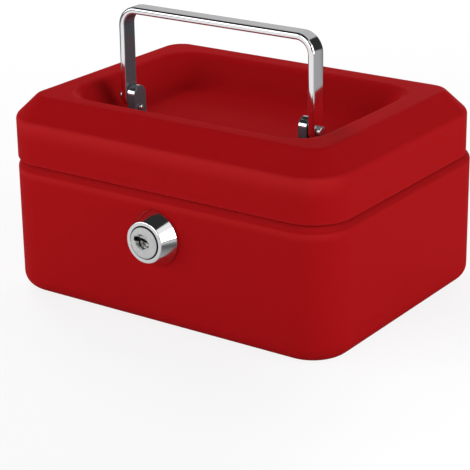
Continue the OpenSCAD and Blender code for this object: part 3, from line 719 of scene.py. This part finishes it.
drop = STRIP_W / 2 * np.sin(np.radians(END_TURNS))
first_end = middle[:1] - np.outer(drop, (0, 1))
last_end = middle[-1:] - np.outer(drop[::-1], (0, 1))
spine = np.vstack([first_end, middle, last_end])
outward = np.vstack([
    np.repeat(outward[:1], len(drop), 0), outward, np.repeat(outward[-1:], len(drop), 0)])
shrink = 2 * np.sqrt(np.maximum((STRIP_W / 2) ** 2 - drop ** 2, LEAST_HALF_WIDTH ** 2))
widths = np.concatenate([shrink, np.full(len(middle), STRIP_W), shrink[::-1]])
rings = np.stack([oblong(STRIP_T, wide, min(EDGE_R, wide / 2.01)) for wide in widths])
handle_grid = np.stack([
    spine[:, None, 0] + outward[:, None, 0] * rings[..., 0],
    PIVOT_Y + rings[..., 1],
    spine[:, None, 1] + outward[:, None, 1] * rings[..., 0],
], -1)
around = handle_grid.shape[1]
last_ring = (len(spine) - 1) * around
piece(
    "handle_strip", handle_grid, "polished_chrome", "handle", ["handle"], closed=(False, True),
    caps=[range(around), range(last_ring, last_ring + around)],
)

# %% [markdown]
# ## Turned pieces
# Pins and the lock's cone are turned on a lathe, so each is a profile spun about an axis. `turned` spins
# (distance along, radius) pairs about X or Y: each point goes round a circle of its radius. Small radii
# on the edges catch the light, as the broken edges of real turned parts do.


# %% Turned pieces
def turned(name, profile, axis, centre, slot, body, replaced, sharp=35, count=72, finish=None):
    """Spins (along, radius) pairs about a line through centre that runs along +axis."""
    along, radius = np.asarray(profile, float).T
    a = np.linspace(0, 2 * math.pi, count, endpoint=False)[:, None]
    side = {"X": (1, 2), "Y": (0, 2)}[axis]
    grid = np.zeros((count, len(along), 3)) + np.asarray(centre, float)
    grid[..., "XYZ".index(axis)] += along
    grid[..., side[0]] += radius * np.cos(a)
    grid[..., side[1]] += radius * np.sin(a)
    return piece(name, grid, slot, body, replaced, sharp=sharp, finish=finish)


def edge_round(start, corner, end, radius, step=15):
    """Three points of a profile with the middle one rounded."""
    return bent([start, corner, end], [0, radius], step)[1:-1]


# %% [markdown]
# ## The lock's cone
# The housing's front is a cone from the ring round the plug out to a thin flange on the wall. The
# threaded barrel goes on through the wall. The profile runs from the back of the bore, over the ring,
# down the cone and along the barrel.

# %% Lock cone
HOUSING_BACK = lock_high[1] - lock_low[1]
FACE_R, FLANGE_R, BORE_R = 16.1 / 2, 22.0 / 2, 6.35
BARREL_R, LOCK_OUT, FLANGE_T, BORE_EDGE = 7.8, 7.0, 1.1, 0.3
foot = LOCK_OUT - FLANGE_T
cone = np.vstack([
    [[HOUSING_BACK, BORE_R], [BORE_EDGE, BORE_R], [0, BORE_R + BORE_EDGE]],
    edge_round([0, BORE_R], [0, FACE_R], [foot, FLANGE_R], 0.5),
    edge_round([0, FACE_R], [foot, FLANGE_R], [LOCK_OUT, FLANGE_R], 0.4),
    [[LOCK_OUT, FLANGE_R], [LOCK_OUT, BARREL_R], [HOUSING_BACK, BARREL_R], [HOUSING_BACK, BORE_R]],
])
turned("lock_cone", cone, "Y", (0, lock_low[1], LOCK_Z), "polished_chrome", "base", ["lock_housing"])

# %% [markdown]
# ## The handle's pins
# Each leg turns on a pivot pin with a round head, which goes through the leg into the lug. A small
# domed cross pin shows in each lug's inner face. Both run along X, and the left ones are the right ones
# with the distance along the axis counted the other way.


# %% Profiles of the pins
def pivot_profile(length, head_r):
    """(along, radius): up the inner end, along the shank, out to the head and over its round edge."""
    shank_r, head_l, head_break, edge_r = 1.48, 1.7, 0.2, 0.45
    under = length - head_l
    return np.vstack([
        [[0, 0], [0, shank_r], [under, shank_r],
         [under, head_r - head_break], [under + head_break, head_r]],
        edge_round([under, head_r], [length, head_r], [length, 0], edge_r),
        [[length, 0]],
    ])


def cross_profile(length, pin_r, dome_r=0.9):
    """(along, radius): up the inner end, along the pin and over its dome."""
    dome = edge_round([0, pin_r], [length, pin_r], [length, 0], dome_r)
    return np.vstack([[[0, 0], [0, pin_r]], dome, [[length, 0]]])


# %% Pins on both sides
for side, sign in (("left", -1), ("right", 1)):
    low, high = node_box("pivot_pin_" + side)
    pin = pivot_profile(high[0] - low[0], (high[2] - low[2]) / 2)
    pin[:, 0] *= sign
    start = (high[0] if side == "left" else low[0], PIVOT_Y, PIVOT_Z)
    turned("pivot_pin_round_" + side, pin, "X", start, "polished_chrome",
           "lid", ["pivot_pin_" + side], finish=pin_plate)

    low, high = node_box("lug_cross_pin_" + side)
    pin = cross_profile(high[0] - low[0], (high[2] - low[2]) / 2)
    pin[:, 0] *= -sign
    start = (low[0] if side == "left" else high[0], (low[1] + high[1]) / 2, (low[2] + high[2]) / 2)
    turned("cross_pin_domed_" + side, pin, "X", start, "polished_chrome",
           "lid", ["lug_cross_pin_" + side], finish=pin_plate)

# %% [markdown]
# ## The lugs
# Each lug is a small block with a round top, plated with the handle. Its outline is two straight sides
# and a half circle. It is drawn six times across the thickness, with the outer ones a little smaller,
# which breaks the edges.


# %% Lugs
def lug_outline(half, foot_z, centre_z, inset):
    """(y, z) round the lug: up one side, over the half circle and down the other."""
    a = np.radians(np.arange(0, 181, 7.5))
    arc = np.stack([(half - inset) * np.cos(a), centre_z + (half - inset) * np.sin(a)], -1)
    return np.vstack([[[half - inset, foot_z]], arc, [[-half + inset, foot_z]]])


EDGE_BREAK, HALFWAY_X, HALFWAY_IN = 0.35, 0.1, 0.12

for side in ("left", "right"):
    low, high = node_box("handle_lug_" + side)
    half = (high[1] - low[1]) / 2
    layers = [
        (low[0], EDGE_BREAK), (low[0] + HALFWAY_X, HALFWAY_IN), (low[0] + EDGE_BREAK, 0),
        (high[0] - EDGE_BREAK, 0), (high[0] - HALFWAY_X, HALFWAY_IN), (high[0], EDGE_BREAK),
    ]
    outlines = [(x, lug_outline(half, low[2], high[2] - half, inset)) for x, inset in layers]
    grid = np.stack([np.column_stack([np.full(len(yz), x), PIVOT_Y + yz[:, 0], yz[:, 1]])
                     for x, yz in outlines])
    count = grid.shape[1]
    piece("lug_" + side, grid, "polished_chrome", "lid", ["handle_lug_" + side],
          closed=(False, True), sharp=50,
          caps=[range(count), range((len(layers) - 1) * count, len(layers) * count)])

# %% [markdown]
# ## The floor
# The box stands on a plain pale sweep. It looks white to the camera and to mirrors, while the light that
# it throws on the box stays at a plain level: a share of it is a plain matt surface, which keeps the
# box's shadow, and the rest glows. To the camera, a painted pool of light makes it a little brighter at
# the front right. Mirrors see it darker in a few places, painted shade that gives the chrome its bands:
# on the far side and most of all behind it, close to the box, and far out at the left.

# %% Floor
FLOOR_SHOWN = 0.85

bpy.ops.mesh.primitive_plane_add(size=12)
floor = bpy.context.object
floor.name = "floor"
sweep = Finish("pale_floor", Base_Color=(0.8, 0.8, 0.8, 1), Roughness=1.0, Specular_IOR_Level=0.0)
spot = sweep.place()


def past(way, low, high):
    """0 before the distance `low` along the direction `way`, 1 past `high`, in metres."""
    return sweep.soft_step(sweep.toward(spot, way), low, high)


far_side, behind = past((0.55, 0.84, 0), -0.1, 0.3), past((-0.819, 0.574, 0), -0.026, -0.006)
at_left, to_right = past((-0.958, 0.287, 0), 0.19, 0.26), past((1, 0, 0), -0.06, 0.1)
# A painted pool of light: the camera sees the floor a little brighter at the front right.
painted_light_patch = past((0.817, 0.577, 0), -0.02, 0.06) * past((0.577, -0.817, 0), 0.02, 0.12)
from_box = sweep.add("ShaderNodeVectorMath", {"operation": "LENGTH"}, {0: spot}, output="Value")
close_by = 1 - sweep.soft_step(from_box, 0.1, 0.32)
# What mirrors see: the floor darkened by painted shade close to the box, on the far side and far out at
# the left.
shown = (1 - far_side * (behind * 0.32 + 0.58)) * (1 - close_by * (to_right * 0.58 + 0.3))
shown = shown * (1 - at_left * 0.85)

to_camera, to_mirror = sweep.seen_by("Camera"), sweep.seen_by("Glossy")
glow = sweep.add("ShaderNodeEmission", {}, {
    "Color": (1, 1, 1, 1), "Strength": 1 - to_mirror * (1 - shown) + to_camera * painted_light_patch * 0.08})
sweep.surface(sweep.add("ShaderNodeMixShader", {}, {
    0: to_camera * FLOOR_SHOWN + to_mirror, 1: Number(sweep, sweep.shader.outputs[0]), 2: glow}))
floor.data.materials.append(sweep.material)
sweep.report()

# %% [markdown]
# ## The room's light
# The light comes in low from all round. The room is pale at the horizon and dark overhead, which makes
# the bevel a deeper red than the walls on either side of it. A picture of a real studio would light
# mirrors better, but a ramp over the height of each direction is plain and needs no file.

# %% Room light
ROOM_LIGHT = 0.76
HORIZON_TO_TOP = [
    (0.0, (1.0, 1.0, 1.0)), (0.26, (0.92, 0.92, 0.92)), (0.37, (0.64, 0.64, 0.65)),
    (0.52, (0.25, 0.25, 0.26)), (0.75, (0.1, 0.1, 0.11)), (1.0, (0.07, 0.07, 0.08)),
]

world = bpy.data.worlds.new("studio")
bpy.context.scene.world = world
world.use_nodes = True
room = Net(world.node_tree)
direction = room.place("Generated")
upward = room.toward(direction, (0, 0, 1))
shade = room.add("ShaderNodeValToRGB", {"stops": HORIZON_TO_TOP}, {0: upward})
light = room.add("ShaderNodeBackground", {}, {"Color": shade, "Strength": ROOM_LIGHT})
print("room light", ROOM_LIGHT)

# %% [markdown]
# ## What mirrors see of the room
# Chrome needs something to show: pale walls, a dark ceiling, a dark doorway and a dark corner give it
# its bands. Each is a region of directions with a soft edge. The camera sees a plain white backdrop.


# %% Room in mirrors
def region(way, low, high):
    """0 for directions that reach less than `low` along `way`, 1 for more than `high`."""
    return room.soft_step(room.toward(direction, way), low, high)


walls = 1 - region((0, 1, 0), 0.0, 0.5) * 0.48
left_wall = 1 - region((-1, -0.1, 0), 0.74, 0.92) * 0.85
below_ceiling = 1 - region((-0.33, 0, 1), 0.62, 0.7)
no_doorway = 1 - region((0.377, 0.889, 0.259), 0.93, 0.95)
no_corner = 1 - region((0.62, -0.689, 0.375), 0.8, 0.88)
mirrored = room.add("ShaderNodeBackground", {}, {
    "Color": (1, 1, 1, 1),
    "Strength": walls * left_wall * below_ceiling * no_doorway * no_corner + 0.03})
lit = room.add("ShaderNodeMixShader", {}, {0: room.seen_by("Glossy"), 1: light, 2: mirrored})
backdrop = room.add("ShaderNodeBackground", {}, {"Color": (1, 1, 1, 1), "Strength": 1.0})
room.surface(room.add("ShaderNodeMixShader", {}, {0: room.seen_by("Camera"), 1: lit, 2: backdrop}))
print("room", len(room.tree.nodes), "nodes")

# %% [markdown]
# ## Lamps
# Five soft lamps stand low round the box. Of the three that mirrors see, the one at the right is the
# strongest, so the right wall is the brighter one. The two at the back lift the rim and the inside of
# the lid, and are hidden from mirrors, where they would show as bright squares.


# %% Lamps
def soft_lamp(name, azimuth, elevation, far, size, watts):
    """A square area lamp, aimed at the box; azimuth is counted from +X towards +Y."""
    a, e = math.radians(azimuth), math.radians(elevation)
    way = Vector((math.cos(a) * math.cos(e), math.sin(a) * math.cos(e), math.sin(e)))
    lamp = bpy.data.objects.new(name, bpy.data.lights.new(name, "AREA"))
    lamp.data.size = size
    lamp.data.energy = watts
    lamp.location = Vector((0, 0, 0.05)) + way * far
    lamp.rotation_mode = "QUATERNION"
    lamp.rotation_quaternion = way.to_track_quat("Z", "Y")
    bpy.context.scene.collection.objects.link(lamp)
    print(name, watts, "W")
    return lamp


soft_lamp("lamp_right", 8, 17, 1.4, 0.9, 11.6)
soft_lamp("lamp_back", 106, 12, 1.4, 0.6, 12).visible_glossy = False
soft_lamp("lamp_back_left", 150, 40, 1.4, 0.6, 11).visible_glossy = False
soft_lamp("lamp_front_left", 228, 16, 1.4, 0.8, 4.3)
soft_lamp("lamp_front", 268, 20, 1.4, 0.8, 5.2)

# %% [markdown]
# ## View and finish
# Standard keeps a colour as it is written.

# %% Finish
bpy.context.scene.view_settings.view_transform = "Standard"
